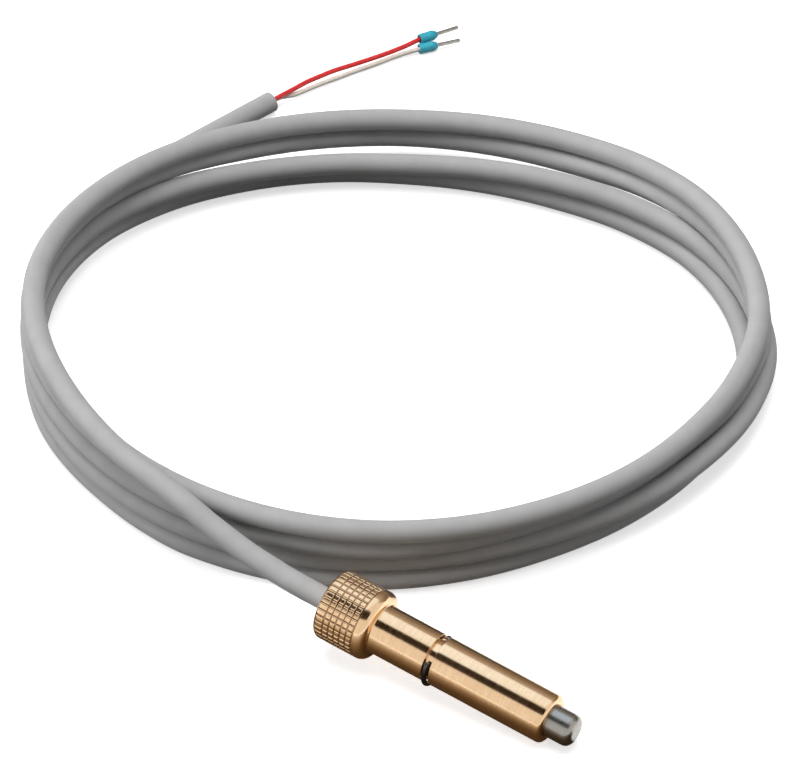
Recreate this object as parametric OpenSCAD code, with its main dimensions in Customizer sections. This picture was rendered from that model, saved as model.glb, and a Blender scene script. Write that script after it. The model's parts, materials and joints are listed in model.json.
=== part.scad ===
// Cable temperature sensor: a brass stem turned in one piece with a knurled head, a
// stainless probe tube in its bore, a retaining ring, and a coiled two-wire cable.
// The sensor lies along +X, nose down, as its stiff cable lets it rest.

/* [Head] */
// Diameter of the knurled head
head_d = 13.2; // [12:0.1:16]
// Length of the head along the sensor
head_len = 10.5; // [9:0.1:14]
// Edge radius at the front of the head
head_front_round = 1.4; // [0.8:0.1:1.8]
// Edge radius at the rear rim of the head
head_rear_round = 1.0; // [0.5:0.1:1.5]
// Number of grooves of the knurl round the head
knurl_teeth = 34; // [20:1:40]
// Spacing of the knurl's ring grooves
knurl_pitch = 1.2; // [1:0.1:1.6]
// Depth of the knurl's grooves
knurl_depth = 0.25; // [0.15:0.05:0.35]
// Smooth band left in front of the knurl, with the rounded edge
smooth_band = 2.1; // [1.8:0.1:3]

/* [Stem] */
// Diameter of the stem
stem_d = 9.2; // [8.6:0.1:10.5]
// Length of the stem between head and ring groove
neck_len = 11.3; // [6:0.1:20]
// Length of the stem in front of the ring groove
front_len = 23; // [15:0.1:40]
// Edge radius of the stem's nose
nose_round = 0.85; // [0.4:0.05:1.1]
// Small chamfer on both edges of the ring groove
groove_chamfer = 0.12; // [0.05:0.01:0.2]

/* [Retaining ring] */
// Width of the ring groove
groove_w = 1.5; // [1.3:0.1:2]
// Wall of the stem left between the groove's floor and the bore
groove_floor_wall = 0.65; // [0.5:0.05:0.9]
// Wire diameter of the ring
ring_wire_d = 1; // [0.8:0.05:1.2]
// Clearance between the ring's wire and the groove's floor where it rests
ring_clearance = 0.05; // [0.03:0.01:0.15]
// How far the loose ring hangs below the middle
ring_sag = 0.2; // [0:0.05:0.3]
// Opening of the ring, in degrees
ring_gap = 60; // [30:5:90]
// Turn of the opening's middle from straight up towards -Y, in degrees
ring_turn = 26; // [0:1:180]

/* [Probe tube] */
// Outer diameter of the stainless tube
tube_d = 6; // [5.6:0.1:6.4]
// Wall of the tube
tube_wall = 0.4; // [0.3:0.05:0.5]
// Length of the tip that stands out of the nose
tip_out = 5; // [3:0.1:12]
// Edge radius of the closed tip
tip_round = 1.5; // [0.9:0.1:2]
// Clearance round the tube in the stem's bore
tube_clearance = 0.03; // [0.02:0.01:0.1]
// Wall at the head's rear that stops the tube
rear_wall = 3; // [2:0.1:5]

/* [Sensing element] */
// Length of the platinum chip
chip_len = 2.3; // [1.6:0.1:4]
// Width of the chip
chip_w = 2; // [1:0.1:2.4]
// Thickness of the chip
chip_t = 0.9; // [0.5:0.1:1.3]
// Gap between the chip's nose and the tube's closed end
chip_nose_gap = 0.8; // [0.4:0.1:3]
// Wire diameter of the chip's two legs
leg_d = 0.25; // [0.15:0.05:0.3]
// Length of each leg
leg_len = 8; // [5:0.5:10]
// Length of each crimped joint between leg and core
joint_len = 3; // [2:0.5:4]
// Diameter of each crimped joint
joint_d = 0.8; // [0.6:0.1:1]
// Wall of the glass-fibre sleeve over each joint
sleeve_wall = 0.2; // [0.1:0.05:0.25]
// Distance from the sensor's axis to each core inside the tube
core_offset = 0.9; // [0.85:0.01:0.95]

/* [Cable] */
// Outer diameter of the cable
cable_d = 4.2; // [4:0.1:4.4]
// Clearance round the cable in the head's rear hole
cable_clearance = 0.1; // [0.05:0.05:0.2]
// Length of jacket inside the head and tube
jacket_in = 12; // [10:0.5:16]
// Length of the potting in front of the jacket
potting_len = 4; // [2:0.5:6]
// Outer diameter of each insulated core
core_d = 1; // [0.9:0.05:1.05]

/* [Ferrules] */
// Outer diameter of a ferrule's plastic collar
collar_d = 2.15; // [2:0.05:2.4]
// Length of the collar
collar_len = 4; // [3.4:0.1:6]
// Wall of the collar at its mouth
collar_wall = 0.25; // [0.2:0.05:0.4]
// Outer diameter of the tinned tube
pin_d = 0.8; // [0.7:0.05:1]
// Wall of the tinned tube
pin_wall = 0.15; // [0.12:0.01:0.2]
// Length of the tube in front of the collar
pin_len = 5; // [4:0.5:12]

/* [Resting place] */
// Slope of the sensor, nose down, in degrees
rest_tilt = 6.5; // [3.2:0.1:9]

/* [Hidden] */
facets = 96;        // round surfaces
cut = 0.5;          // how far a cutting tool runs past the face that it opens
seat = 0.02;        // gap between bonded or crimped pieces
pin_flare = 0.3;    // how much wider a ferrule's tube is at its end inside the collar

// Stations along the sensor's own axis, from the head's rear face
groove_x = head_len + neck_len;
front_x = groove_x + groove_w;
nose_x = front_x + front_len;
tip_x = nose_x + tip_out;
bore_d = tube_d + 2 * tube_clearance;
tube_in_d = tube_d - 2 * tube_wall;
groove_d = bore_d + 2 * groove_floor_wall;
groove_mid_x = groove_x + groove_w / 2;
ring_d = groove_d + ring_wire_d + 2 * (ring_clearance + ring_sag);
jacket_x = jacket_in;
potting_x = jacket_x + potting_len;
chip_x = tip_x - tube_wall - chip_nose_gap - chip_len;
crimp_x = chip_x - leg_len;
core_end_x = crimp_x - joint_len;
sleeve_over = 0.8;    // how far a sleeve reaches past its joint at each end
sleeve_in_d = core_d + 2 * seat;
sleeve_d = sleeve_in_d + 2 * sleeve_wall;
paste_x = crimp_x + sleeve_over + 1;
knurl_end_x = head_len - smooth_band;
groove_w_knurl = 0.4;     // width of each groove of the knurl, at the surface
ring_groove_depth = knurl_depth * 0.8;
knurl_start_x = head_rear_round + 0.1;
teeth_end_x = knurl_end_x - groove_w_knurl / 2;    // the straight grooves run out in the last ring groove
knurl_rings = floor((knurl_end_x - groove_w_knurl - knurl_start_x) / knurl_pitch) + 1;

// Where the tilted sensor touches the surface: [station, centre radius, edge radius]
rims = [[head_len - head_front_round, head_d / 2 - head_front_round, head_front_round],
    [head_rear_round, head_d / 2 - head_rear_round, head_rear_round],
    [groove_mid_x, ring_d / 2 + ring_sag, ring_wire_d / 2],
    [nose_x - nose_round, stem_d / 2 - nose_round, nose_round],
    [tip_x - tip_round, tube_d / 2 - tip_round, tip_round]];
rest_z = max([for (r = rims) r[0] * sin(rest_tilt) + r[1] * cos(rest_tilt) + r[2]]);
rim_low_x = min([for (r = rims, s = [-1, 1]) r[0] * cos(rest_tilt) + s * r[1] * sin(rest_tilt) - r[2]]);
rim_high_x = max([for (r = rims, s = [-1, 1]) r[0] * cos(rest_tilt) + s * r[1] * sin(rest_tilt) + r[2]]);
rest_x = -(rim_low_x + rim_high_x) / 2;
exit_dir = [-cos(rest_tilt), 0, sin(rest_tilt)];
cable_exit = [rest_x, 0, rest_z];

// The coil lies behind the sensor, on the same surface
coil_centre = [-59.5, 72.5];
coil_out_r = 73;
coil_in_r = 54.5;
coil_h = 16;
coil_round = 4;

// Route of the cable from the head up on to the coil
lead_points = concat([cable_exit, cable_exit + 7 * exit_dir], [[-36.4, 0.3, 10.9], [-44, 1.3, 11.9], [-52, 2.4, 13.2]]);
// Route of the cable's far end, from the coil to its cut end
tail_dir = [0.239, 0.971, 0];
tail_end = [-125.5, 128.3, cable_d / 2];
tail_points = concat([for (p = [[-126, 46.3], [-131.8, 55.9], [-134.2, 62.9], [-135.3, 69.5],
    [-135.6, 76], [-135.3, 83], [-134.4, 90.5], [-132.9, 98.3], [-131.1, 105.5]]) [p[0], p[1], cable_d / 2]],
    [tail_end - 7 * tail_dir, tail_end]);
// The two wires, from the cut end into their ferrules
wire_side = 0.35;   // the red wire leaves this far right of the cable's middle, the white one as far left
wire_up = 0.45;     // the red wire leaves this much higher, the white one as much lower
tail_side = [tail_dir[1], -tail_dir[0], 0];
red_start = tail_end + wire_side * tail_side + [0, 0, wire_up];
white_start = tail_end - wire_side * tail_side - [0, 0, wire_up];
red_mouth = [-112.15, 163.45, collar_d / 2 + 0.9];
white_mouth = [-111, 161.5, collar_d / 2];
red_turn = 61.5;
white_turn = 54;
flared_d = pin_d + pin_flare;
grip_len = collar_len - 1.4;     // how far a wire's insulation goes into its collar
red_points = concat([red_start, red_start + 2.5 * tail_dir],
    [[-123.9, 134.3, 2.3], [-123.2, 138, 2.1], [-122.2, 141.2, 1.95], [-120.8, 144.9, 1.85],
    [-118.8, 148.7, 1.8], [-116.6, 152.8, 1.85], [-114.7, 156.6, 1.9], [-113.2, 160.2, 1.95]],
    [red_mouth, red_mouth + grip_len * [cos(red_turn), sin(red_turn), 0]]);
white_points = concat([white_start, white_start + 2.5 * tail_dir],
    [[-123.6, 134, 1.05], [-122.6, 137, 0.75], [-121.5, 140.2, 0.65], [-120, 143.9, 0.65],
    [-118, 148.5, 0.7], [-116, 152.5, 0.75], [-114, 156.6, 0.9], [-112.4, 159.5, 1]],
    [white_mouth, white_mouth + grip_len * [cos(white_turn), sin(white_turn), 0]]);

function unit(v) = v / norm(v);
function heading(p, i) =
    i == 0 ? unit(p[1] - p[0]) :
    i == len(p) - 1 ? unit(p[i] - p[i - 1]) :
    unit(unit(p[i + 1] - p[i]) + unit(p[i] - p[i - 1]));

// A tube of the given diameter along a route, as one closed solid
module swept_tube(p, d, sides) {
    rings = [for (i = [0 : len(p) - 1])
        let (t = heading(p, i), a = unit(cross([0, 0, 1], t)), b = cross(t, a))
        for (k = [0 : sides - 1])
            p[i] + d / 2 * (cos(360 * k / sides) * a + sin(360 * k / sides) * b)];
    last = (len(p) - 1) * sides;
    walls = [for (i = [0 : len(p) - 2], k = [0 : sides - 1])
        let (k2 = (k + 1) % sides) [i * sides + k, (i + 1) * sides + k, (i + 1) * sides + k2, i * sides + k2]];
    polyhedron(rings, concat([[for (k = [0 : sides - 1]) k]],
        [[for (k = [sides - 1 : -1 : 0]) last + k]], walls), convexity = 4);
}

// Sensor pieces are drawn along their own axis and laid down together
module laid() {
    translate([rest_x, 0, rest_z]) rotate([0, rest_tilt, 0]) children();
}

// A round bar along the sensor's axis from one station to another
module bar(x0, x1, d) {
    translate([x0, 0, 0]) rotate([0, 90, 0]) cylinder(h = x1 - x0, d = d, $fn = facets);
}

// Turns a [station, radius] outline into a solid round the sensor's axis
module turned() {
    rotate([0, 90, 0]) rotate_extrude($fn = facets) rotate(90) mirror([0, 1]) children();
}

// Half outline of a round bar with rounded ends, from station x0 to x1
module rounded_outline(x0, x1, r, round0, round1) {
    difference() {
        translate([x0, 0]) square([x1 - x0, r]);
        corner(x0, r, round0, 1);
        corner(x1, r, round1, -1);
    }
}

// What an edge radius takes off a corner of the outline
module corner(x, r, round, side) {
    if (round > 0) difference() {
        translate([side > 0 ? x - cut : x - round, r - round]) square([round + cut, round + cut]);
        translate([x + side * round, r - round]) circle(round, $fn = facets);
    }
}

// Section of one ring groove of the knurl, at the given station
module ring_groove(x) {
    translate([x - groove_w_knurl / 2, head_d / 2 - ring_groove_depth])
        square([groove_w_knurl, ring_groove_depth + cut]);
}

// Cross-section of the head with its straight grooves, wider than the head between them
module toothed_section() {
    floor_r = head_d / 2 - knurl_depth;
    floor_half = asin(groove_w_knurl / 4 / floor_r);
    outer_r = head_d / 2 + 1;
    outer_half = asin(groove_w_knurl / 2 / outer_r);
    polygon([for (k = [0 : knurl_teeth - 1], q = [-1, 1], e = q < 0 ? [1, 0] : [0, 1])
        let (a = (k + 0.5) * 360 / knurl_teeth + q * (e == 1 ? outer_half : floor_half))
        (e == 1 ? outer_r : floor_r) * [cos(a), sin(a)]]);
}

module head_blank() {
    turned() difference() {
        rounded_outline(0, head_len, head_d / 2, head_rear_round, head_front_round);
        for (k = [0 : knurl_rings - 1]) ring_groove(knurl_end_x - groove_w_knurl / 2 - k * knurl_pitch);
    }
}

module knurled_head() {
    intersection() {
        head_blank();
        union() {
            bar(-cut, knurl_start_x, head_d + 2);
            translate([knurl_start_x, 0, 0]) rotate([0, 90, 0])
                linear_extrude(teeth_end_x - knurl_start_x) toothed_section();
            bar(teeth_end_x, head_len + cut, head_d + 2);
        }
    }
}

// One turned brass piece: head, neck, ring groove and front stem, bored for the tube
module brass_stem() color("#cda069") laid() {
    difference() {
        union() {
            knurled_head();
            turned() difference() {
                rounded_outline(head_len - 1, nose_x, stem_d / 2, 0, nose_round);
                polygon([[groove_x - groove_chamfer, stem_d / 2 + cut],
                    [groove_x - groove_chamfer, stem_d / 2], [groove_x, stem_d / 2 - groove_chamfer],
                    [groove_x, groove_d / 2], [front_x, groove_d / 2],
                    [front_x, stem_d / 2 - groove_chamfer], [front_x + groove_chamfer, stem_d / 2],
                    [front_x + groove_chamfer, stem_d / 2 + cut]]);
            }
        }
        bar(rear_wall, nose_x + cut, bore_d);
        bar(-cut, rear_wall + cut, cable_d + 2 * cable_clearance);
    }
}

// Stainless tube, closed at the tip, pushed in from the nose up to the head's rear wall
module probe_tube() color("#9a9894") laid() {
    turned() difference() {
        rounded_outline(rear_wall + seat, tip_x, tube_d / 2, 0, tip_round);
        translate([-cut, -cut]) rounded_outline(0, tip_x - tube_wall + cut, tube_in_d / 2 + cut,
            0, tip_round - tube_wall);
    }
}

// Open ring of spring wire, loose in its groove
module retaining_ring() color("#2b2c2e") laid() {
    translate([groove_mid_x, 0, -ring_sag]) rotate([ring_turn, 0, 0]) rotate([0, 90, 0])
        rotate([0, 0, 180 + ring_gap / 2]) rotate_extrude(angle = 360 - ring_gap, $fn = facets)
            translate([ring_d / 2, 0]) circle(d = ring_wire_d, $fn = 32);
}

// Platinum film chip on ceramic, at the closed end of the tube
module rtd_chip() color("#f2efe6") laid() {
    translate([chip_x, -chip_w / 2, -chip_t / 2]) cube([chip_len, chip_w, chip_t]);
}

// One leg of the chip: out of its rear face near the middle, then out to the crimp
module chip_leg(side) color("#c9c9c9") laid() {
    leg_y = side * min(core_offset, chip_w / 2 - leg_d);
    translate([0, leg_y, 0]) bar(crimp_x, chip_x, leg_d);
}
module chip_leg_a() chip_leg(1);
module chip_leg_b() chip_leg(-1);

// Crimp that joins a leg to a core
module crimp(side) color("#b87333") laid() {
    translate([0, side * core_offset, 0]) bar(core_end_x, crimp_x, joint_d);
}
module crimp_a() crimp(1);
module crimp_b() crimp(-1);

// Glass-fibre sleeve over a joint
module joint_sleeve(side) color("#e8e2cf") laid() {
    translate([0, side * core_offset, 0]) difference() {
        bar(core_end_x - sleeve_over, crimp_x + sleeve_over, sleeve_d);
        bar(core_end_x - sleeve_over - cut, crimp_x + sleeve_over + cut, sleeve_in_d);
    }
}
module joint_sleeve_a() joint_sleeve(1);
module joint_sleeve_b() joint_sleeve(-1);

// Insulated core between the jacket's end and the joint
module core(side) {
    laid() translate([0, side * core_offset, 0]) bar(jacket_x, core_end_x, core_d);
}
module core_red() color("#e23434") core(1);
module core_white() color("#d8cbbe") core(-1);

// Heat-conducting paste round the chip and its legs
module heat_paste() color("#c8ccd0") laid() {
    difference() {
        turned() rounded_outline(paste_x, tip_x - tube_wall - seat, tube_in_d / 2 - seat,
            0, tip_round - tube_wall);
        translate([chip_x - seat, -chip_w / 2 - seat, -chip_t / 2 - seat])
            cube([chip_len + 2 * seat, chip_w + 2 * seat, chip_t + 2 * seat]);
        for (side = [-1, 1]) translate([0, side * min(core_offset, chip_w / 2 - leg_d), 0])
            bar(paste_x - cut, chip_x, leg_d + 2 * seat);
    }
}

// Resin that seals the jacket's end in the tube, with the two cores passing through
module potting() color("#3a3a3a") laid() {
    difference() {
        bar(rear_wall + 2, potting_x, tube_in_d - 2 * seat);
        bar(rear_wall + 2 - cut, jacket_x + seat, cable_d + 2 * seat);
        for (side = [-1, 1]) translate([0, side * core_offset, 0])
            bar(jacket_x, potting_x + cut, core_d + 2 * seat);
    }
}

// The cable's jacket inside the head and tube
module jacket_end() color("#b0b0b0") laid() bar(0, jacket_x, cable_d);

// Free cable from the head to the coil
module cable_lead() color("#b0b0b0") swept_tube(lead_points, cable_d, 12);

// Outer shape of the cable's four turns
module cable_coil() color("#b0b0b0") {
    w = coil_out_r - coil_in_r;
    translate([coil_centre[0], coil_centre[1], 0]) rotate_extrude($fn = facets) {
        translate([coil_in_r + coil_round, 0]) square([w - 2 * coil_round, coil_h]);
        translate([coil_in_r, coil_round]) square([w, coil_h - 2 * coil_round]);
        for (x = [coil_in_r + coil_round, coil_out_r - coil_round], z = [coil_round, coil_h - coil_round])
            translate([x, z]) circle(coil_round, $fn = 32);
    }
}

// Free cable from the coil to its cut end
module cable_tail() color("#b0b0b0") swept_tube(tail_points, cable_d, 12);

module red_lead() color("#e23434") swept_tube(red_points, core_d, 8);
module white_lead() color("#d8cbbe") swept_tube(white_points, core_d, 8);

// Places a ferrule piece drawn along +X from the collar's mouth
module at_ferrule(mouth, turn) {
    translate(mouth) rotate([0, 0, turn]) children();
}

// Plastic collar: a funnel mouth for the wire, and a tapered nose round the tube
module collar() color("#2f9fb0") {
    taper = 0.9;
    nose_d = pin_d + 0.5;
    mouth_d = collar_d - 2 * collar_wall;
    turned() difference() {
        polygon([[0, 0], [0, collar_d / 2], [collar_len - taper, collar_d / 2],
            [collar_len, nose_d / 2], [collar_len, 0]]);
        polygon([[-cut, -cut], [-cut, mouth_d / 2], [grip_len - 0.6, mouth_d / 2],
            [grip_len, flared_d / 2 + seat], [collar_len, pin_d / 2 + seat],
            [collar_len + cut, pin_d / 2 + seat], [collar_len + cut, -cut]]);
    }
}
module red_collar() at_ferrule(red_mouth, red_turn) collar();
module white_collar() at_ferrule(white_mouth, white_turn) collar();

// Tinned copper tube through the collar's nose, flared where the collar holds it
module pin() color("#a8a5a0") difference() {
    turned() polygon([[grip_len + seat, 0], [grip_len + seat, flared_d / 2], [collar_len, pin_d / 2],
        [collar_len + pin_len, pin_d / 2], [collar_len + pin_len, 0]]);
    bar(grip_len - cut, collar_len + pin_len + cut, pin_d - 2 * pin_wall);
}
module red_pin() at_ferrule(red_mouth, red_turn) pin();
module white_pin() at_ferrule(white_mouth, white_turn) pin();

// Bare strands pressed inside the tube
module strands() color("#b87333") {
    bar(grip_len, collar_len + pin_len - 0.1, pin_d - 2 * pin_wall - 2 * seat);
}
module red_strands() at_ferrule(red_mouth, red_turn) strands();
module white_strands() at_ferrule(white_mouth, white_turn) strands();

brass_stem();
probe_tube();
retaining_ring();
rtd_chip();
chip_leg_a();
chip_leg_b();
crimp_a();
crimp_b();
joint_sleeve_a();
joint_sleeve_b();
core_red();
core_white();
heat_paste();
potting();
jacket_end();
cable_lead();
cable_coil();
cable_tail();
red_lead();
white_lead();
red_collar();
white_collar();
red_pin();
white_pin();
red_strands();
white_strands();
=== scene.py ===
import json
import math

import bpy
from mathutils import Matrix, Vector

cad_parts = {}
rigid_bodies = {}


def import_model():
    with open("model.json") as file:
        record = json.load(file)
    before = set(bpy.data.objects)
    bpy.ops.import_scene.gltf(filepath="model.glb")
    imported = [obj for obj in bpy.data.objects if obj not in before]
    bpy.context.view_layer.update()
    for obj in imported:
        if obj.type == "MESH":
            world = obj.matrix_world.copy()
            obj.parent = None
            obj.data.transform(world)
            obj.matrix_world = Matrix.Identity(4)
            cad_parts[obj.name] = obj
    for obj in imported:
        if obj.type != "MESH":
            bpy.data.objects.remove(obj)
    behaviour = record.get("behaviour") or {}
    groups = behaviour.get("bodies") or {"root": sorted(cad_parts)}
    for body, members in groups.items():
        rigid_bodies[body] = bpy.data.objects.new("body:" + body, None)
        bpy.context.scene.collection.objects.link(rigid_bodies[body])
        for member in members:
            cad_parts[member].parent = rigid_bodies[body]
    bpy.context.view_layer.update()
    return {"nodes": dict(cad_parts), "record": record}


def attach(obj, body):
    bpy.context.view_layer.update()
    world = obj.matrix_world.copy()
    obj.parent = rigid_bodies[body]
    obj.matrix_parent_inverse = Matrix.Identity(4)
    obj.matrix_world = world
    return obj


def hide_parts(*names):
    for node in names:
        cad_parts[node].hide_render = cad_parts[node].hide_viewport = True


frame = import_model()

mm = 0.001
print("frame loaded:", len(frame["nodes"]), "nodes")


def deselectAll():
    if bpy.context.mode != "OBJECT":
        bpy.ops.object.mode_set(mode="OBJECT")
    bpy.ops.object.select_all(action="DESELECT")


def makeActive(piece):
    deselectAll()
    piece.select_set(True)
    bpy.context.view_layer.objects.active = piece


def linearColour(hexText):
    # sRGB hex to the linear colour that the shaders want
    parts = [int(hexText[i:i + 2], 16) / 255 for i in (1, 3, 5)]
    return [c / 12.92 if c <= 0.04045 else ((c + 0.055) / 1.055) ** 2.4 for c in parts] + [1.0]


def addNode(tree, kind, settings=None, links=None):
    # settings go to a socket if the node has one of that name or number, else to the node itself;
    # "stops" are a colour ramp's (position, hex colour)
    node = tree.nodes.new(kind)
    for key, value in (settings or {}).items():
        if key == "stops":
            while len(node.color_ramp.elements) < len(value):
                node.color_ramp.elements.new(0.5)
            for element, (position, hexText) in zip(node.color_ramp.elements, value):
                element.position = position
                element.color = linearColour(hexText)
        elif isinstance(key, int) or key in node.inputs:
            node.inputs[key].default_value = value
        else:
            setattr(node, key, value)
    for key, socket in (links or {}).items():
        tree.links.new(socket, node.inputs[key])
    return node


def newMaterial(name):
    material = bpy.data.materials.new(name)
    material.use_nodes = True
    tree = material.node_tree
    tree.nodes.clear()
    return material, tree


def useMaterial(piece, material):
    piece.data.materials.clear()
    piece.data.materials.append(material)


# Camera, floor and light

camera = {"lens": 224.6, "azimuth": 33.0, "elevation": 39.0, "distance": 950 * mm,
          "target": Vector((-55.9, 69.4, 0)) * mm}
azimuth, elevation = math.radians(camera["azimuth"]), math.radians(camera["elevation"])
fromTarget = Vector((math.sin(azimuth) * math.cos(elevation), -math.cos(azimuth) * math.cos(elevation),
                     math.sin(elevation)))
bpy.ops.object.camera_add(location=camera["target"] + camera["distance"] * fromTarget)
cameraObject = bpy.context.object
cameraObject.rotation_euler = (-fromTarget).to_track_quat("-Z", "Y").to_euler()
cameraObject.data.lens = camera["lens"]
cameraObject.data.sensor_width = 36
cameraObject.data.clip_end = 20
bpy.context.scene.camera = cameraObject
bpy.context.scene.view_settings.view_transform = "Standard"


def backgroundSeen(tree):
    # 1 for the rays that show the background: the camera's, and those off metal and through glass
    rays = addNode(tree, "ShaderNodeLightPath")
    seen = addNode(tree, "ShaderNodeMath", {"operation": "MAXIMUM"},
                   {0: rays.outputs["Is Camera Ray"], 1: rays.outputs["Is Glossy Ray"]})
    seen = addNode(tree, "ShaderNodeMath", {"operation": "MAXIMUM"},
                   {0: seen.outputs[0], 1: rays.outputs["Is Transmission Ray"]})
    return seen.outputs[0]


# where the background shows, the floor is white paper; the object gets only the weak bounce of a dark table
floor = {"size": 8.0, "colour": "#F4F4F4", "glow": 0.6, "bounce": "#464544"}
deselectAll()
bpy.ops.mesh.primitive_plane_add(size=floor["size"], location=(0, 0, -0.02 * mm))
floorObject = bpy.context.object
floorObject.name = "studio_floor"
floorMaterial, tree = newMaterial("studioPaper")
seen = backgroundSeen(tree)
paper = addNode(tree, "ShaderNodeBsdfPrincipled",
                {"Base Color": linearColour(floor["colour"]), "Roughness": 0.9, "Specular IOR Level": 0.2,
                 "Emission Color": (1, 1, 1, 1), "Emission Strength": floor["glow"]})
table = addNode(tree, "ShaderNodeBsdfPrincipled",
                {"Base Color": linearColour(floor["bounce"]), "Roughness": 0.9, "Specular IOR Level": 0.2})
surface = addNode(tree, "ShaderNodeMixShader", links={0: seen, 1: table.outputs[0], 2: paper.outputs[0]})
addNode(tree, "ShaderNodeOutputMaterial", links={"Surface": surface.outputs[0]})
useMaterial(floorObject, floorMaterial)

# a soft key box overhead, and a cool one that only shine sees; the world is soft, and brighter at the sides
light = {
    "soft": [(0.0, "#101010"), (0.42, "#3C3C3C"), (0.5, "#7C7C7C"), (1.0, "#868686")],  # from low to high
    "softStrength": 0.35, "leftStrength": 17.0, "rightStrength": 5.5,
    "sideFrom": 0.65, "sideTo": 0.95,       # how far to the side, as a cosine
    "lean": Vector((0.1, -0.2, 0.97)),
    "boxes": [{"at": (-0.08, 0.05, 1.25), "size": (1.0, 0.9), "watts": 13.3, "colour": "#FFFFFF", "shine": False},
              {"at": (-0.33, 0.24, 0.97), "size": (1.4, 0.83), "watts": 2.2, "colour": "#90CBFF", "shine": True}],
    "aim": Vector((-0.05, 0.07, 0.0)),
}
world = bpy.data.worlds.new("studioWorld")
bpy.context.scene.world = world
world.use_nodes = True
tree = world.node_tree
tree.nodes.clear()
direction = addNode(tree, "ShaderNodeTexCoord")
lean = addNode(tree, "ShaderNodeVectorMath", {"operation": "DOT_PRODUCT", 1: light["lean"]},
               {0: direction.outputs["Generated"]})
lean = addNode(tree, "ShaderNodeMapRange", {"From Min": -1.0, "From Max": 1.0}, {"Value": lean.outputs["Value"]})
softTone = addNode(tree, "ShaderNodeValToRGB", {"stops": light["soft"]}, {0: lean.outputs[0]})
toRight = Vector((math.cos(azimuth), math.sin(azimuth), 0.0))
side = addNode(tree, "ShaderNodeVectorMath", {"operation": "DOT_PRODUCT", 1: toRight},
               {0: direction.outputs["Generated"]})
left = addNode(tree, "ShaderNodeMapRange",
               {"From Min": -light["sideFrom"], "From Max": -light["sideTo"], "To Min": light["softStrength"],
                "To Max": light["leftStrength"]}, {"Value": side.outputs["Value"]})
right = addNode(tree, "ShaderNodeMapRange",
                {"From Min": light["sideFrom"], "From Max": light["sideTo"], "To Min": light["softStrength"],
                 "To Max": light["rightStrength"]}, {"Value": side.outputs["Value"]})
side = addNode(tree, "ShaderNodeMath", {"operation": "MAXIMUM"}, {0: left.outputs[0], 1: right.outputs[0]})
soft = addNode(tree, "ShaderNodeBackground", links={"Color": softTone.outputs[0], "Strength": side.outputs[0]})
white = addNode(tree, "ShaderNodeBackground", {"Color": (1, 1, 1, 1), "Strength": 1.0})
sky = addNode(tree, "ShaderNodeMixShader",
              links={0: backgroundSeen(tree), 1: soft.outputs[0], 2: white.outputs[0]})
addNode(tree, "ShaderNodeOutputWorld", links={"Surface": sky.outputs[0]})
for box in light["boxes"]:
    bpy.ops.object.light_add(type="AREA", location=box["at"])
    lamp = bpy.context.object
    lamp.rotation_euler = (light["aim"] - lamp.location).to_track_quat("-Z", "Y").to_euler()
    lamp.data.shape = "RECTANGLE"
    lamp.data.size, lamp.data.size_y = box["size"]
    lamp.data.energy = box["watts"]
    lamp.data.color = linearColour(box["colour"])[:3]
    lamp.visible_glossy = box["shine"]
    lamp.visible_diffuse = not box["shine"]

# graduated cards that glow, seen only in reflections: painted reflections which metal shows as dark lines; a standing
# one is so many degrees round the sensor from the back, over the top, and the shades run from the front edge to the
# back one
cards = {
    "length": 1.2,
    "sideways": -0.29,                      # seen from the right, the stem's shine leaves to the left
    "stand": [{"towards": 23, "spread": 58, "away": 0.5,
               "shades": [(0, "#CBC5BC"), (0.5, "#8F8375"), (1, "#6B594A")]},
              {"towards": 116, "spread": 31, "away": 0.5, "shades": [(0, "#3A2E20"), (1, "#2A1E12")]}],
    "flat": {"from": (-70, -110), "to": (60, 1.5),
             "shades": [(0, "#F4F2F0"), (0.55, "#DDD5CC"), (0.75, "#B0A18E"), (0.84, "#8C7A64"),
                        (0.91, "#5E4C36"), (1, "#3A2A18")]},
}


def dressCard(piece, shades):
    # only shine sees it: it glows with its shades, a painted reflection
    piece.name = "painted_reflection_card"
    material, tree = newMaterial("glowingReflectionCard")
    place = addNode(tree, "ShaderNodeTexCoord")
    across = addNode(tree, "ShaderNodeSeparateXYZ", links={0: place.outputs["Generated"]})
    shade = addNode(tree, "ShaderNodeValToRGB", {"stops": shades}, {0: across.outputs["Y"]})
    card = addNode(tree, "ShaderNodeEmission", links={"Color": shade.outputs[0]})
    addNode(tree, "ShaderNodeOutputMaterial", links={"Surface": card.outputs[0]})
    useMaterial(piece, material)
    piece.visible_camera = piece.visible_diffuse = piece.visible_transmission = piece.visible_shadow = False


for card in cards["stand"]:
    turn = math.radians(card["towards"])
    towards = Vector((cards["sideways"], math.cos(turn), math.sin(turn)))
    bpy.ops.mesh.primitive_plane_add(size=1, location=card["away"] * towards, rotation=(turn - math.pi / 2, 0, 0))
    height = 2 * card["away"] * math.tan(math.radians(card["spread"] / 2))
    bpy.context.object.scale = (cards["length"], height, 1)
    dressCard(bpy.context.object, card["shades"])
# the flat card glows darkest at the sensor: a painted shadow of the sensor on the floor, seen only in reflections
low, high = Vector(cards["flat"]["from"]) * mm, Vector(cards["flat"]["to"]) * mm
bpy.ops.mesh.primitive_plane_add(size=1, location=(*((low + high) / 2), -0.01 * mm))
bpy.context.object.scale = (*(high - low), 1)
dressCard(bpy.context.object, cards["flat"]["shades"])
print("camera, floor and light ready")


def smoothValue(values, place):
    # Catmull-Rom through evenly spaced values
    i = min(max(int(place), 1), len(values) - 3)
    f = place - i
    a, b, c, d = values[i - 1:i + 3]
    return 0.5 * (2 * b + (c - a) * f + (2 * a - 5 * b + 4 * c - d) * f * f + (3 * b - a - 3 * c + d) * f ** 3)


mounts = {m["name"]: m for m in frame["record"]["mounts"]}
sensorAxis = Vector(mounts["stem"]["axis"])
sensor = {"stemMiddle": 34.435}             # the stem mount's station, from the head's rear face
headRear = Vector(mounts["stem"]["pos_m"]) - sensor["stemMiddle"] * mm * sensorAxis

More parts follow.
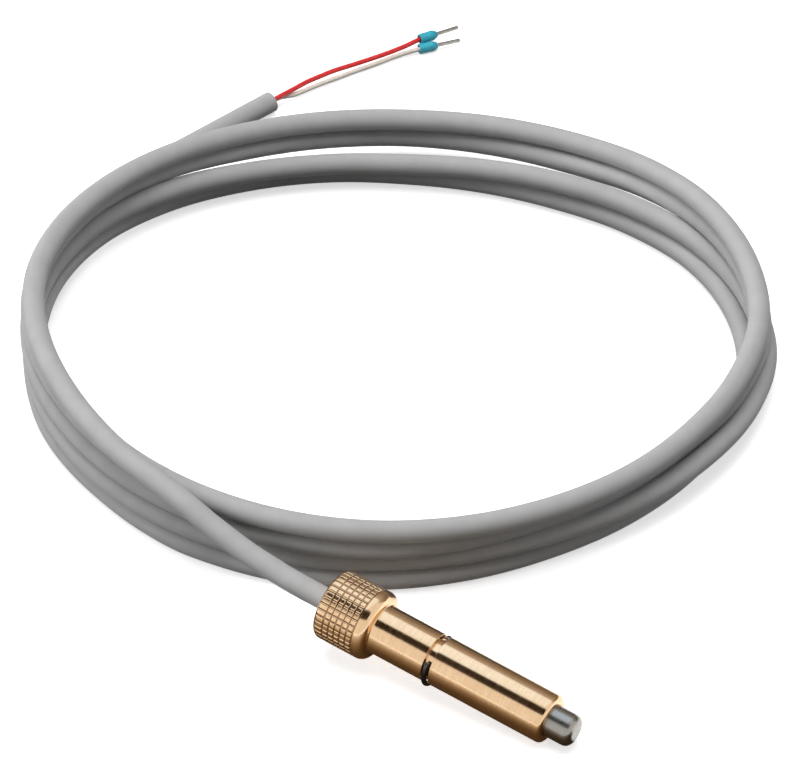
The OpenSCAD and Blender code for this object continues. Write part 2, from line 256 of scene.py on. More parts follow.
cable = {
    "diameter": 4.2,
    "centre": (-59.5, 72.5),
    "perTurn": 12,                          # places round each turn where its radius and height are set
    "stepsPerPlace": 2,
    # from the front of the coil, clockwise seen from above: one row for each turn
    "radius": [76.0,
               70.2, 67.5, 67.8, 66.2, 65.5, 66.1, 68.0, 68.7, 69.2, 65.2, 65.0, 66.1,
               66.0, 66.5, 68.5, 68.0, 65.8, 67.1, 66.7, 68.9, 69.6, 63.2, 62.9, 65.5,
               66.0, 67.1, 68.7, 67.1, 60.5, 56.2, 58.7, 67.0, 70.9, 67.0, 63.8, 64.1,
               66.3, 67.3, 68.2, 68.0, 62.8, 58.1, 59.1, 65.6, 67.5, 64.2, 62.5, 64.4,
               66.1, 66.6],
    "height": [7.5,
               16.4, 18.4, 18.1, 15.5, 11.9, 9.7, 10.2, 13.8, 13.4, 12.2, 13.7, 14.7,
               14.7, 14.5, 14.1, 11.6, 7.7, 4.9, 6.0, 9.6, 9.2, 7.7, 10.2, 10.4,
               10.5, 10.4, 10.0, 7.5, 5.8, 5.9, 6.8, 5.9, 5.5, 6.2, 6.8, 6.3,
               6.3, 6.3, 6.1, 3.4, 2.1, 2.1, 2.3, 2.1, 2.4, 2.1, 2.1, 2.1,
               2.1, 2.1],
    "lead": [(-36.4, 0.3, 10.9), (-44, 0.7, 12.2), (-52, 1.3, 14.3)],
    "tail": [(-70.9, 7.3, 2.1), (-82, 10.2, 2.1), (-92.9, 14.5, 2.1), (-102, 19.9, 2.1), (-109.8, 26.8, 2.1),
             (-117.9, 36.3, 2.1), (-125.4, 46.3, 2.1), (-131.2, 55.5, 2.1), (-134.1, 63.3, 2.1), (-135.4, 70, 2.1),
             (-135.8, 76.3, 2.1), (-135.4, 83, 2.1), (-134.4, 90.5, 2.1), (-132.9, 98.3, 2.1), (-131.1, 105.5, 2.1)],
    "end": Vector((-125.5, 128.3, 2.1)),
    "endHeading": Vector((0.239, 0.971, 0)).normalized(),
}


def coilPoints():
    points = []
    places = len(cable["radius"]) - 2
    for step in range((places - 1) * cable["stepsPerPlace"] + 1):
        place = 1 + step / cable["stepsPerPlace"]
        turn = math.radians(-90 - (place - 1) * 360 / cable["perTurn"])
        radius = smoothValue(cable["radius"], place)
        points.append(Vector((cable["centre"][0] + radius * math.cos(turn),
                              cable["centre"][1] + radius * math.sin(turn),
                              max(smoothValue(cable["height"], place), cable["diameter"] / 2))))
    return points


def throughPoints(points, spacing):
    # a smooth curve through the given points, in even steps
    ends = [2 * points[0] - points[1], 2 * points[-1] - points[-2]]
    full = [ends[0]] + points + [ends[1]]
    fine = [full[1]]
    for i in range(1, len(full) - 2):
        a, b, c, d = full[i - 1:i + 3]
        span = (c - b).length
        leave = (c - a) * span / ((c - b).length + (b - a).length)
        arrive = (d - b) * span / ((d - c).length + (c - b).length)
        count = max(2, round(span / spacing))
        for k in range(1, count + 1):
            f = k / count
            fine.append(b * (2 * f ** 3 - 3 * f ** 2 + 1) + leave * (f ** 3 - 2 * f ** 2 + f)
                        + c * (3 * f ** 2 - 2 * f ** 3) + arrive * (f ** 3 - f ** 2))
    return fine


def pathLength(points):
    return sum((b - a).length for a, b in zip(points, points[1:]))


def polyline(name, points, closed=False):
    curve = bpy.data.curves.new(name, "CURVE")
    curve.dimensions = "3D"
    spline = curve.splines.new("POLY")
    spline.use_cyclic_u = closed
    spline.points.add(len(points) - 1)
    for target, point in zip(spline.points, points):
        target.co = (*(point * mm), 1)
    piece = bpy.data.objects.new(name, curve)
    bpy.context.collection.objects.link(piece)
    return piece


def asMesh(piece):
    makeActive(piece)
    bpy.ops.object.convert(target="MESH")
    return bpy.context.object


def tubeAlong(name, points, diameter, sides):
    # its UV runs round and along the cord
    piece = polyline(name, points)
    piece.data.bevel_depth = diameter / 2 * mm
    piece.data.bevel_resolution = sides // 2 - 2
    piece.data.use_fill_caps = True
    piece = asMesh(piece)
    bpy.ops.object.mode_set(mode="EDIT")
    bpy.ops.mesh.select_all(action="SELECT")
    bpy.ops.mesh.remove_doubles(threshold=0.001 * mm)
    bpy.ops.mesh.normals_make_consistent(inside=False)
    bpy.ops.object.mode_set(mode="OBJECT")
    bpy.ops.object.shade_smooth_by_angle(angle=math.radians(40))
    return piece


def filleted(corners, steps=5, closed=True):
    # corners are (station, radius, fillet); a sharp one has fillet 0
    outline = []
    for i, (x, r, fillet) in enumerate(corners):
        here = Vector((x, r))
        if fillet == 0 or (not closed and i in (0, len(corners) - 1)):
            outline.append(here)
            continue
        before = (Vector(corners[i - 1][:2]) - here).normalized()
        after = (Vector(corners[(i + 1) % len(corners)][:2]) - here).normalized()
        half = before.angle(after) / 2
        middle = here + (before + after).normalized() * fillet / math.sin(half)
        start = here + before * fillet / math.tan(half) - middle
        end = here + after * fillet / math.tan(half) - middle
        sweep = start.angle(end)
        for k in range(steps + 1):
            f = k / steps
            arc = start * math.sin((1 - f) * sweep) + end * math.sin(f * sweep)
            outline.append(middle + arc / math.sin(sweep))
    return outline


def turnedPiece(name, outline, sides, closed=True):
    # spun round the X axis
    piece = asMesh(polyline(name, [Vector((p.x, 0, p.y)) for p in outline], closed))
    bpy.ops.object.mode_set(mode="EDIT")
    bpy.ops.mesh.select_all(action="SELECT")
    bpy.ops.mesh.spin(steps=sides, angle=2 * math.pi, center=(0, 0, 0), axis=(1, 0, 0))
    bpy.ops.mesh.select_all(action="SELECT")
    bpy.ops.mesh.remove_doubles(threshold=0.001 * mm)
    bpy.ops.mesh.normals_make_consistent(inside=False)
    bpy.ops.object.mode_set(mode="OBJECT")
    bpy.ops.object.shade_smooth_by_angle(angle=math.radians(32))
    return piece


def layAt(piece, place, turn):
    # from its own axis to its place, kept in the mesh
    makeActive(piece)
    piece.location = place
    piece.rotation_euler = turn
    bpy.ops.object.transform_apply(location=True, rotation=True, scale=True)


def dress(piece, material, slot, *nodes):
    useMaterial(piece, material)
    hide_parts(*nodes)
    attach(piece, "root")


sensor["tilt"] = math.asin(-sensorAxis.z)
sensorTurn = (0, sensor["tilt"], 0)
# for patterns in millimetres along the sensor's axis and across it
alongSensor = {"vector_type": "TEXTURE", "Location": headRear, "Rotation": sensorTurn, "Scale": (mm, mm, mm)}

stem = {
    "sides": 340, "head": 10.5, "headRadius": 6.6, "rearHole": 2.2, "radius": 4.6, "ringSeat": (21.8, 23.3),
    "seatRadius": 3.68, "nose": 46.3, "boreFrom": 3.0, "boreRadius": 3.03,
    "teeth": 34, "grooves": {0: 6.38, 1: 6.54},             # step from the middle of each groove, and its radius
    "knurlFrom": 0.35, "rearLands": 6.2, "ringGrooves": [2.2, 3.4, 4.6, 5.8, 7.0, 8.2], "ringFloor": 6.42,
    "ringHalf": (0.2, 0.17, 0.06), "lip": 0.02,             # half widths from the surface down
    "brownFrom": 6.2, "brownPast": 0.25,                      # the dark brown's inner radius, and its end past the last ring
}

# Turned brass: fine lathe lines lie round the axis, so its shine spreads a little along it,
# and the low places of the head are coloured dark brown, which makes the knurl's lines read dark
brassMaterial, tree = newMaterial("turnedBrass")
place = addNode(tree, "ShaderNodeTexCoord")
spot = addNode(tree, "ShaderNodeMapping", alongSensor, {"Vector": place.outputs["Object"]})
parts = addNode(tree, "ShaderNodeSeparateXYZ", links={0: spot.outputs[0]})
ringDirection = addNode(tree, "ShaderNodeCombineXYZ", links={"Y": parts.outputs["Y"], "Z": parts.outputs["Z"]})
fromAxis = addNode(tree, "ShaderNodeVectorMath", {"operation": "LENGTH"}, {0: ringDirection.outputs[0]})
# the lathe lines lie 0.4 mm apart along the axis and run 5 mm long round it
stretched = addNode(tree, "ShaderNodeMapping", {**alongSensor, "Scale": (mm / 2.6, mm / 0.2, mm / 0.2)},
                    {"Vector": place.outputs["Object"]})
lathe = addNode(tree, "ShaderNodeTexNoise", {"Scale": 1.0, "Detail": 3.0, "Roughness": 0.6},
                {"Vector": stretched.outputs[0]})
cloud = addNode(tree, "ShaderNodeTexNoise", {"Scale": 0.35, "Detail": 4.0, "Roughness": 0.6},
                {"Vector": spot.outputs[0]})
brassTone = addNode(tree, "ShaderNodeValToRGB", {"stops": [(0.3, "#E7C297"), (0.5, "#EBC79E"), (0.7, "#F0CDA6")]},
                    {0: cloud.outputs["Fac"]})
latheTone = addNode(tree, "ShaderNodeValToRGB", {"stops": [(0.35, "#E8E4E0"), (0.6, "#FFFFFF")]},
                    {0: lathe.outputs["Fac"]})
tone = addNode(tree, "ShaderNodeMix", {"data_type": "RGBA", "blend_type": "MULTIPLY", 0: 0.35},
               {6: brassTone.outputs[0], 7: latheTone.outputs[0]})
inHead = addNode(tree, "ShaderNodeMath", {"operation": "LESS_THAN", 1: stem["ringGrooves"][-1] + stem["brownPast"]},
                 {0: parts.outputs["X"]})
lowInHead = addNode(tree, "ShaderNodeMapRange", {"From Min": stem["grooves"][1], "From Max": stem["ringFloor"],
                                                 "To Min": 0.0, "To Max": 0.6},
                    {"Value": fromAxis.outputs["Value"]})
outside = addNode(tree, "ShaderNodeMath", {"operation": "GREATER_THAN", 1: stem["brownFrom"]},
                  {0: fromAxis.outputs["Value"]})
# the head's low places are mixed toward dark brown, the deeper the darker
grooveBrown = addNode(tree, "ShaderNodeMath", {"operation": "MULTIPLY"}, {0: inHead.outputs[0], 1: lowInHead.outputs[0]})
grooveBrown = addNode(tree, "ShaderNodeMath", {"operation": "MULTIPLY"}, {0: grooveBrown.outputs[0], 1: outside.outputs[0]})
toneWithGrooveBrown = addNode(tree, "ShaderNodeMix", {"data_type": "RGBA", 7: linearColour("#5E3A18")},
                 {0: grooveBrown.outputs[0], 6: tone.outputs[2]})
grain = addNode(tree, "ShaderNodeMapRange", {"To Min": 0.12, "To Max": 0.2}, {"Value": lathe.outputs["Fac"]})
# the head's shine spreads a little more than the stem's
grain = addNode(tree, "ShaderNodeMath", {"operation": "MULTIPLY_ADD", 1: 0.06},
                {0: inHead.outputs[0], 2: grain.outputs[0]})
bump = addNode(tree, "ShaderNodeBump", {"Strength": 0.15, "Distance": 0.02 * mm}, {"Height": lathe.outputs["Fac"]})
brass = addNode(tree, "ShaderNodeBsdfPrincipled", {"Metallic": 1.0},
                {"Base Color": toneWithGrooveBrown.outputs[2], "Roughness": grain.outputs[0], "Normal": bump.outputs[0]})
addNode(tree, "ShaderNodeOutputMaterial", links={"Surface": brass.outputs[0]})

corners = [(0, stem["rearHole"], 0.15), (0, stem["headRadius"], 1.0)]
wide, shoulder, narrow = stem["ringHalf"]
lipRadius = stem["headRadius"] - stem["lip"]
for x in stem["ringGrooves"]:
    corners += [(x - wide, stem["headRadius"], 0), (x - shoulder, lipRadius, 0), (x - narrow, stem["ringFloor"], 0),
                (x + narrow, stem["ringFloor"], 0), (x + shoulder, lipRadius, 0), (x + wide, stem["headRadius"], 0)]
seatStart, seatEnd = stem["ringSeat"]
corners += [(stem["head"], stem["headRadius"], 1.65), (stem["head"], stem["radius"], 0.3),
            (seatStart, stem["radius"], 0.12), (seatStart, stem["seatRadius"], 0.08),
            (seatEnd, stem["seatRadius"], 0.08), (seatEnd, stem["radius"], 0.12),
            (stem["nose"], stem["radius"], 0.85), (stem["nose"], stem["boreRadius"], 0.1),
            (stem["boreFrom"], stem["boreRadius"], 0.05), (stem["boreFrom"], stem["rearHole"], 0.1)]
stemPiece = turnedPiece("brass_body", filleted(corners, 6), stem["sides"])

# the straight grooves of the knurl, cut between the lands
makeActive(stemPiece)
perTooth = stem["sides"] // stem["teeth"]
for away, grooveRadius in stem["grooves"].items():
    for edge in stemPiece.data.edges:
        edge.select = False
    for face in stemPiece.data.polygons:
        face.select = False
    for vertex in stemPiece.data.vertices:
        x, r = vertex.co.x / mm, math.hypot(vertex.co.y, vertex.co.z) / mm
        step = round(math.atan2(vertex.co.z, vertex.co.y) / (2 * math.pi) * stem["sides"]) % perTooth
        landFrom = grooveRadius + 0.04 if x > 1 else stem["rearLands"]      # the rear rim is rounded
        vertex.select = (stem["knurlFrom"] < x < stem["ringGrooves"][-1] and r > landFrom
                         and step in (away, (perTooth - away) % perTooth))
    bpy.ops.object.mode_set(mode="EDIT")
    bpy.ops.mesh.select_mode(type="VERT")
    cut = grooveRadius / stem["headRadius"]
    bpy.ops.transform.resize(value=(1, cut, cut), center_override=(0, 0, 0))
    bpy.ops.object.mode_set(mode="OBJECT")
bpy.ops.object.shade_smooth_by_angle(angle=math.radians(32))
layAt(stemPiece, headRear, sensorTurn)
dress(stemPiece, brassMaterial, "brass", "brass_stem")
print("brass body:", len(stemPiece.data.polygons), "faces")

# Ground stainless steel: grey and a little cloudy, with fine lines round the tube
stainlessMaterial, tree = newMaterial("groundStainless")
place = addNode(tree, "ShaderNodeTexCoord")
spot = addNode(tree, "ShaderNodeMapping", alongSensor, {"Vector": place.outputs["Object"]})
stretched = addNode(tree, "ShaderNodeMapping", {**alongSensor, "Scale": (mm / 2.6, mm / 0.3, mm / 0.3)},
                    {"Vector": place.outputs["Object"]})
grind = addNode(tree, "ShaderNodeTexNoise", {"Scale": 1.0, "Detail": 3.0}, {"Vector": stretched.outputs[0]})
smudge = addNode(tree, "ShaderNodeTexNoise", {"Scale": 0.7, "Detail": 3.0}, {"Vector": spot.outputs[0]})
mixed = addNode(tree, "ShaderNodeMath", {"operation": "ADD"}, {0: grind.outputs["Fac"], 1: smudge.outputs["Fac"]})
steelTone = addNode(tree, "ShaderNodeValToRGB", {"stops": [(0.42, "#7F7C78"), (0.62, "#9C9993")]},
                    {0: mixed.outputs[0]})
haze = addNode(tree, "ShaderNodeMapRange", {"To Min": 0.2, "To Max": 0.36}, {"Value": smudge.outputs["Fac"]})
bump = addNode(tree, "ShaderNodeBump", {"Strength": 0.1, "Distance": 0.02 * mm}, {"Height": grind.outputs["Fac"]})
stainless = addNode(tree, "ShaderNodeBsdfPrincipled", {"Metallic": 1.0},
                    {"Base Color": steelTone.outputs[0], "Roughness": haze.outputs[0], "Normal": bump.outputs[0]})
addNode(tree, "ShaderNodeOutputMaterial", links={"Surface": stainless.outputs[0]})

# Drawn spring steel with a black oxide skin: only the top of the wire catches a line of light
springMaterial, tree = newMaterial("oxidisedSpringSteel")
place = addNode(tree, "ShaderNodeTexCoord")
spot = addNode(tree, "ShaderNodeMapping", alongSensor, {"Vector": place.outputs["Object"]})
draw = addNode(tree, "ShaderNodeTexNoise", {"Scale": 3.0, "Detail": 4.0}, {"Vector": spot.outputs[0]})
steelTone = addNode(tree, "ShaderNodeValToRGB", {"stops": [(0.35, "#3A3836"), (0.65, "#555250")]},
                    {0: draw.outputs["Fac"]})
skin = addNode(tree, "ShaderNodeMapRange", {"To Min": 0.14, "To Max": 0.26}, {"Value": draw.outputs["Fac"]})
spring = addNode(tree, "ShaderNodeBsdfPrincipled", {"Metallic": 0.9},
                 {"Base Color": steelTone.outputs[0], "Roughness": skin.outputs[0]})
addNode(tree, "ShaderNodeOutputMaterial", links={"Surface": spring.outputs[0]})

ring = {"wire": 1.0, "radius": 4.43, "station": 22.55, "sag": (-0.16, -0.2), "gap": 98, "gapMiddle": 7}
deselectAll()
start = math.radians(ring["gapMiddle"] - ring["gap"] / 2)
bpy.ops.mesh.primitive_circle_add(vertices=20, radius=ring["wire"] / 2 * mm, fill_type="NGON",
                                  location=(0, -ring["radius"] * math.sin(start) * mm,
                                            ring["radius"] * math.cos(start) * mm),
                                  rotation=(start + math.pi / 2, 0, 0))
ringPiece = bpy.context.object
ringPiece.name = "retaining_wire"
bpy.ops.object.transform_apply(location=True, rotation=True, scale=True)
bpy.ops.object.mode_set(mode="EDIT")
bpy.ops.mesh.select_all(action="SELECT")
bpy.ops.mesh.spin(steps=90, angle=math.radians(360 - ring["gap"]), center=(0, 0, 0), axis=(1, 0, 0))
bpy.ops.mesh.select_all(action="SELECT")
bpy.ops.mesh.normals_make_consistent(inside=False)
bpy.ops.mesh.select_all(action="DESELECT")
bpy.ops.object.mode_set(mode="OBJECT")
for face in ringPiece.data.polygons:
    face.select = len(face.vertices) > 4
bpy.ops.object.mode_set(mode="EDIT")
bpy.ops.mesh.select_mode(type="FACE")
bpy.ops.mesh.bevel(offset=0.12 * mm, segments=2)
bpy.ops.object.mode_set(mode="OBJECT")
bpy.ops.object.shade_smooth_by_angle(angle=math.radians(40))
cutEnds = [face.index for face in ringPiece.data.polygons if len(face.vertices) > 4]
layAt(ringPiece, Vector((ring["station"], *ring["sag"])) * mm, (0, 0, 0))
layAt(ringPiece, headRear, sensorTurn)
dress(ringPiece, springMaterial, "spring_steel", "retaining_ring")
ringPiece.data.materials.append(stainlessMaterial)      # the cut ends are bright
for index in cutEnds:
    ringPiece.data.polygons[index].material_index = 1

sheath = {"rear": 3.02, "tip": 51.3, "radius": 3.0, "wall": 0.4, "tipRound": 1.5}
inside, insideTip = sheath["radius"] - sheath["wall"], sheath["tip"] - sheath["wall"]
tubeCorners = [(sheath["tip"], 0, 0), (sheath["tip"], sheath["radius"], sheath["tipRound"]),
               (sheath["rear"], sheath["radius"], 0.05), (sheath["rear"], inside, 0.05),
               (insideTip, inside, sheath["tipRound"] - sheath["wall"]), (insideTip, 0, 0)]
tubePiece = turnedPiece("probe_sheath", filleted(tubeCorners, 10, closed=False), 96, closed=False)
layAt(tubePiece, headRear, sensorTurn)
dress(tubePiece, stainlessMaterial, "stainless", "probe_tube")
print("ring and sheath ready")

cableRoute = ([headRear / mm, headRear / mm - 7 * sensorAxis] + [Vector(p) for p in cable["lead"]] + coilPoints()
              + [Vector(p) for p in cable["tail"]] + [cable["end"] - 7 * cable["endHeading"], cable["end"]])
cablePath = throughPoints(cableRoute, 1.5)
cablePiece = tubeAlong("grey_cable", cablePath, cable["diameter"], 36)
print("cable:", round(pathLength(cablePath)), "mm,", len(cablePath), "rings,", len(cablePiece.data.polygons), "faces")

# Extruded grey PVC: matt, with faint lines from the die and a soft mottling
greyMaterial, tree = newMaterial("greyPvcJacket")
place = addNode(tree, "ShaderNodeTexCoord")
mottle = addNode(tree, "ShaderNodeTexNoise", {"Scale": 0.25 / mm, "Detail": 3.0}, {"Vector": place.outputs["Object"]})
fineGrain = addNode(tree, "ShaderNodeTexNoise", {"Scale": 3.0 / mm, "Detail": 2.0},
                    {"Vector": place.outputs["Object"]})
pvcTone = addNode(tree, "ShaderNodeValToRGB", {"stops": [(0.35, "#B1B1B1"), (0.65, "#B6B6B6")]},
                  {0: mottle.outputs["Fac"]})
pvcShine = addNode(tree, "ShaderNodeMapRange", {"To Min": 0.5, "To Max": 0.62}, {"Value": mottle.outputs["Fac"]})
bump = addNode(tree, "ShaderNodeBump", {"Strength": 0.08, "Distance": 0.02 * mm},
               {"Height": fineGrain.outputs["Fac"]})
jacket = addNode(tree, "ShaderNodeBsdfPrincipled", {"Specular IOR Level": 0.07},
                 {"Base Color": pvcTone.outputs[0], "Roughness": pvcShine.outputs[0], "Normal": bump.outputs[0]})
addNode(tree, "ShaderNodeOutputMaterial", links={"Surface": jacket.outputs[0]})
dress(cablePiece, greyMaterial, "grey_pvc", "cable_lead", "cable_coil", "cable_tail")

# the cut end: the filler is set back inside the jacket's wall
makeActive(cablePiece)
for face in cablePiece.data.polygons:
    face.select = len(face.vertices) > 4 and (face.center / mm - cable["end"]).length < 0.5
for edge in cablePiece.data.edges:
    edge.select = False
for vertex in cablePiece.data.vertices:
    vertex.select = False
bpy.ops.object.mode_set(mode="EDIT")
bpy.ops.mesh.select_mode(type="FACE")
bpy.ops.mesh.inset(thickness=0.14 * mm)
bpy.ops.mesh.inset(thickness=0.62 * mm)
bpy.ops.mesh.inset(thickness=0.04 * mm, depth=-0.5 * mm)
bpy.ops.object.mode_set(mode="OBJECT")
print("cable's cut end ready")


# Red and white wire insulation: soft PVC with a low gloss; the white one is a little yellowed
def insulation(name, hexLow, hexHigh, shine):
    material, tree = newMaterial(name)
    place = addNode(tree, "ShaderNodeTexCoord")
    cloud = addNode(tree, "ShaderNodeTexNoise", {"Scale": 0.8 / mm, "Detail": 3.0},
                    {"Vector": place.outputs["Object"]})
    tone = addNode(tree, "ShaderNodeValToRGB", {"stops": [(0.35, hexLow), (0.65, hexHigh)]},
                   {0: cloud.outputs["Fac"]})
    rough = addNode(tree, "ShaderNodeMapRange", {"To Min": shine, "To Max": shine + 0.12},
                    {"Value": cloud.outputs["Fac"]})
    bump = addNode(tree, "ShaderNodeBump", {"Strength": 0.1, "Distance": 0.02 * mm}, {"Height": cloud.outputs["Fac"]})
    body = addNode(tree, "ShaderNodeBsdfPrincipled", {"Specular IOR Level": 0.4},
                   {"Base Color": tone.outputs[0], "Roughness": rough.outputs[0], "Normal": bump.outputs[0]})
    addNode(tree, "ShaderNodeOutputMaterial", links={"Surface": body.outputs[0]})
    return material


redMaterial = insulation("redPvcInsulation", "#DC2A2A", "#EA3838", 0.34)
whiteMaterial = insulation("whitePvcInsulation", "#EADFD2", "#F4EBE0", 0.4)

# Moulded turquoise nylon: a soft gloss, slightly uneven where the mould filled
nylonMaterial, tree = newMaterial("turquoiseNylon")
place = addNode(tree, "ShaderNodeTexCoord")
flow = addNode(tree, "ShaderNodeTexNoise", {"Scale": 0.9 / mm, "Detail": 2.0}, {"Vector": place.outputs["Object"]})
nylonTone = addNode(tree, "ShaderNodeValToRGB", {"stops": [(0.35, "#29A4B9"), (0.65, "#37B4C8")]},
                    {0: flow.outputs["Fac"]})
nylonShine = addNode(tree, "ShaderNodeMapRange", {"To Min": 0.3, "To Max": 0.42}, {"Value": flow.outputs["Fac"]})
nylon = addNode(tree, "ShaderNodeBsdfPrincipled", {"Specular IOR Level": 0.5},
                {"Base Color": nylonTone.outputs[0], "Roughness": nylonShine.outputs[0]})
addNode(tree, "ShaderNodeOutputMaterial", links={"Surface": nylon.outputs[0]})

# Tinned copper: dull bright tin with darker specks where the tin is thin
tinMaterial, tree = newMaterial("tinnedCopper")
place = addNode(tree, "ShaderNodeTexCoord")
specks = addNode(tree, "ShaderNodeTexNoise", {"Scale": 2.5 / mm, "Detail": 3.0}, {"Vector": place.outputs["Object"]})
tinTone = addNode(tree, "ShaderNodeValToRGB", {"stops": [(0.35, "#908D87"), (0.65, "#A9A6A0")]},
                  {0: specks.outputs["Fac"]})
tinShine = addNode(tree, "ShaderNodeMapRange", {"To Min": 0.28, "To Max": 0.4}, {"Value": specks.outputs["Fac"]})
tin = addNode(tree, "ShaderNodeBsdfPrincipled", {"Metallic": 1.0},
              {"Base Color": tinTone.outputs[0], "Roughness": tinShine.outputs[0]})
addNode(tree, "ShaderNodeOutputMaterial", links={"Surface": tin.outputs[0]})

# Bare copper strands: pinkish metal, browner where it has aged
copperMaterial, tree = newMaterial("copperStrands")
place = addNode(tree, "ShaderNodeTexCoord")
age = addNode(tree, "ShaderNodeTexNoise", {"Scale": 1.5 / mm, "Detail": 3.0}, {"Vector": place.outputs["Object"]})
copperTone = addNode(tree, "ShaderNodeValToRGB", {"stops": [(0.35, "#A8683E"), (0.65, "#D08C5E")]},
                     {0: age.outputs["Fac"]})
copperShine = addNode(tree, "ShaderNodeMapRange", {"To Min": 0.22, "To Max": 0.4}, {"Value": age.outputs["Fac"]})
copper = addNode(tree, "ShaderNodeBsdfPrincipled", {"Metallic": 1.0},
                 {"Base Color": copperTone.outputs[0], "Roughness": copperShine.outputs[0]})
addNode(tree, "ShaderNodeOutputMaterial", links={"Surface": copper.outputs[0]})

wires = {
    "diameter": 1.0, "grip": 2.6, "recess": 0.5, "strandRadius": 0.075, "strandRing": 0.152, "strandEnd": 8.9,
    "collar": [(0, 1.075, 0.1), (3.1, 1.075, 0.2), (4.0, 0.65, 0.08), (4.0, 0.42, 0.02),
               (2.6, 0.57, 0), (2.0, 0.825, 0), (0, 0.825, 0.08)],
    "tube": [(2.62, 0.55, 0.02), (4.0, 0.4, 0), (9.0, 0.4, 0.05), (9.0, 0.25, 0.05), (2.62, 0.25, 0)],
    "red": {"side": 0.35, "up": 0.45, "mouth": Vector((-112.15, 163.45, 1.975)), "turn": 61.5,
            "through": [(-123.9, 134.3, 2.3), (-123.2, 138, 2.1), (-122.2, 141.2, 1.95), (-120.8, 144.9, 1.85),
                        (-118.8, 148.7, 1.8), (-116.6, 152.8, 1.85), (-114.7, 156.6, 1.9), (-113.2, 160.2, 1.95)]},
    "white": {"side": -0.35, "up": -0.45, "mouth": Vector((-111, 161.5, 1.075)), "turn": 54.0,
              "through": [(-123.6, 134, 1.2), (-122.6, 137, 1.05), (-121.5, 140.2, 0.9), (-120, 143.9, 0.75),
                          (-118, 148.5, 0.7), (-116, 152.5, 0.75), (-114, 156.6, 0.9), (-112.4, 159.5, 1.0)]},
}
tailSide = Vector((cable["endHeading"].y, -cable["endHeading"].x, 0))
for name, wireMaterial, slot in (("red", redMaterial, "red_pvc"), ("white", whiteMaterial, "white_pvc")):
    wire = wires[name]
    start = cable["end"] + wire["side"] * tailSide + Vector((0, 0, wire["up"]))
    start -= wires["recess"] * cable["endHeading"]
    turn = math.radians(wire["turn"])
    forward = Vector((math.cos(turn), math.sin(turn), 0))
    ferruleAt, ferruleTurn = wire["mouth"] * mm, (0, 0, turn)

    collarPiece = turnedPiece(name + "_ferrule_collar", filleted(wires["collar"], 5), 64)
    layAt(collarPiece, ferruleAt, ferruleTurn)
    dress(collarPiece, nylonMaterial, "teal_nylon", name + "_collar")
    pinPiece = turnedPiece(name + "_ferrule_tube", filleted(wires["tube"], 4), 48)
    layAt(pinPiece, ferruleAt, ferruleTurn)
    dress(pinPiece, tinMaterial, "tinned_copper", name + "_pin")

    # seven strands, one in the middle
    deselectAll()
    strands = []
    for k in range(7):
        away = 0 if k == 6 else wires["strandRing"]
        middle = (wires["grip"] + wires["strandEnd"]) / 2
        bpy.ops.mesh.primitive_cylinder_add(vertices=16, radius=wires["strandRadius"] * mm,
                                            depth=(wires["strandEnd"] - wires["grip"]) * mm,
                                            location=Vector((middle, away * math.cos(k * math.pi / 3),
                                                             away * math.sin(k * math.pi / 3))) * mm,
                                            rotation=(0, math.pi / 2, 0))
        strands.append(bpy.context.object)
    for strand in strands:
        strand.select_set(True)
    bpy.ops.object.join()
    strandPiece = bpy.context.object
    strandPiece.name = name + "_copper_strands"
    bpy.ops.object.transform_apply(location=True, rotation=True, scale=True)
    bpy.ops.object.shade_smooth_by_angle(angle=math.radians(40))
    layAt(strandPiece, ferruleAt, ferruleTurn)
    dress(strandPiece, copperMaterial, "copper", name + "_strands")

    route = ([start, start + (2.5 + wires["recess"]) * cable["endHeading"]] + [Vector(p) for p in wire["through"]]
             + [wire["mouth"], wire["mouth"] + wires["grip"] * forward])
    wirePath = throughPoints(route, 0.6)
    wirePiece = tubeAlong(name + "_wire", wirePath, wires["diameter"], 24)
    dress(wirePiece, wireMaterial, slot, name + "_lead")
    print(name, "wire:", round(pathLength(wirePath), 1), "mm")

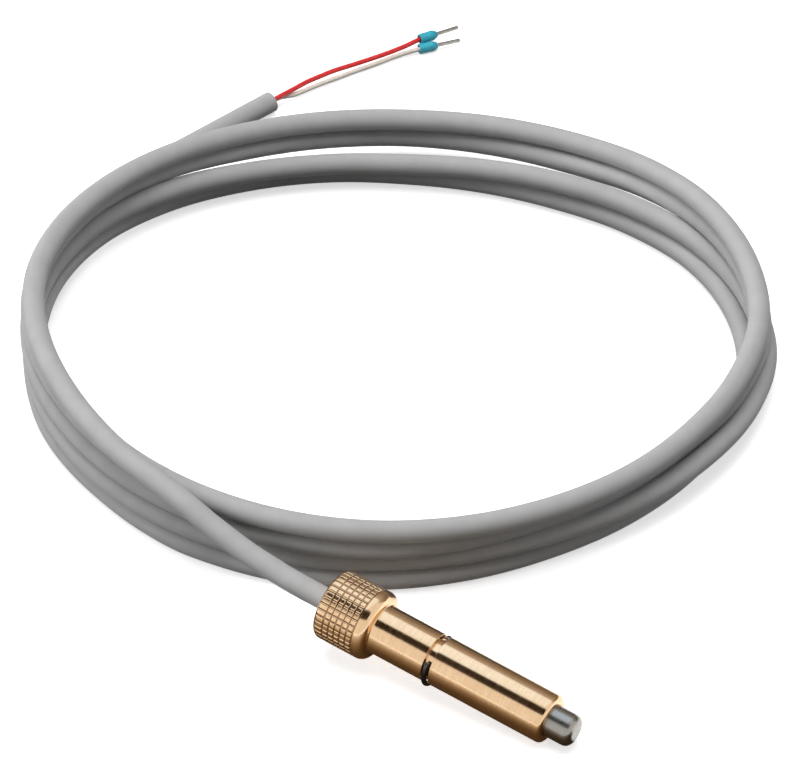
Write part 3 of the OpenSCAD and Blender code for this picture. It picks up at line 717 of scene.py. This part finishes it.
# The pieces inside keep the CAD shapes.
# Fired alumina: white, a little grainy
# Plated leg wire: soft grey metal with faint draw lines
# Woven glass sleeve: cream, with a fine crossing weave that breaks its shine
# Heat paste: thick white grease, uneven and slightly wet
# Potting resin: near black, smooth, with a cloudy depth
inner = {
    "rtd_chip": ("firedAlumina", "#E4E0D8", "#F2EFE8", 1.2, 0.55, 0.0, 0.15),
    "chip_leg_a": ("platedLegWire", "#A8A6A2", "#CFCDC8", 3.0, 0.25, 1.0, 0.1),
    "joint_sleeve_a": ("wovenGlassSleeve", "#D9D0B8", "#EFE8D4", 4.0, 0.7, 0.0, 0.6),
    "heat_paste": ("heatPaste", "#C9CCCE", "#DADCDD", 0.6, 0.4, 0.0, 0.5),
    "potting": ("pottingResin", "#1E1E20", "#2E2E30", 0.5, 0.25, 0.0, 0.1),
}
innerMaterials = {}
for node, (name, hexLow, hexHigh, perMm, rough, metal, relief) in inner.items():
    material, tree = newMaterial(name)
    place = addNode(tree, "ShaderNodeTexCoord")
    pattern = addNode(tree, "ShaderNodeTexNoise", {"Scale": perMm / mm, "Detail": 3.0},
                      {"Vector": place.outputs["Object"]})
    tone = addNode(tree, "ShaderNodeValToRGB", {"stops": [(0.35, hexLow), (0.65, hexHigh)]},
                   {0: pattern.outputs["Fac"]})
    shine = addNode(tree, "ShaderNodeMapRange", {"To Min": rough, "To Max": rough + 0.15},
                    {"Value": pattern.outputs["Fac"]})
    bump = addNode(tree, "ShaderNodeBump", {"Strength": relief, "Distance": 0.05 * mm},
                   {"Height": pattern.outputs["Fac"]})
    body = addNode(tree, "ShaderNodeBsdfPrincipled", {"Metallic": metal},
                   {"Base Color": tone.outputs[0], "Roughness": shine.outputs[0], "Normal": bump.outputs[0]})
    addNode(tree, "ShaderNodeOutputMaterial", links={"Surface": body.outputs[0]})
    innerMaterials[node] = material
innerMaterials.update({"chip_leg_b": innerMaterials["chip_leg_a"], "joint_sleeve_b": innerMaterials["joint_sleeve_a"],
                       "crimp_a": copperMaterial, "crimp_b": copperMaterial, "core_red": redMaterial,
                       "core_white": whiteMaterial, "jacket_end": greyMaterial})
for node, material in innerMaterials.items():
    useMaterial(frame["nodes"][node], material)
print("wires and inner pieces ready")
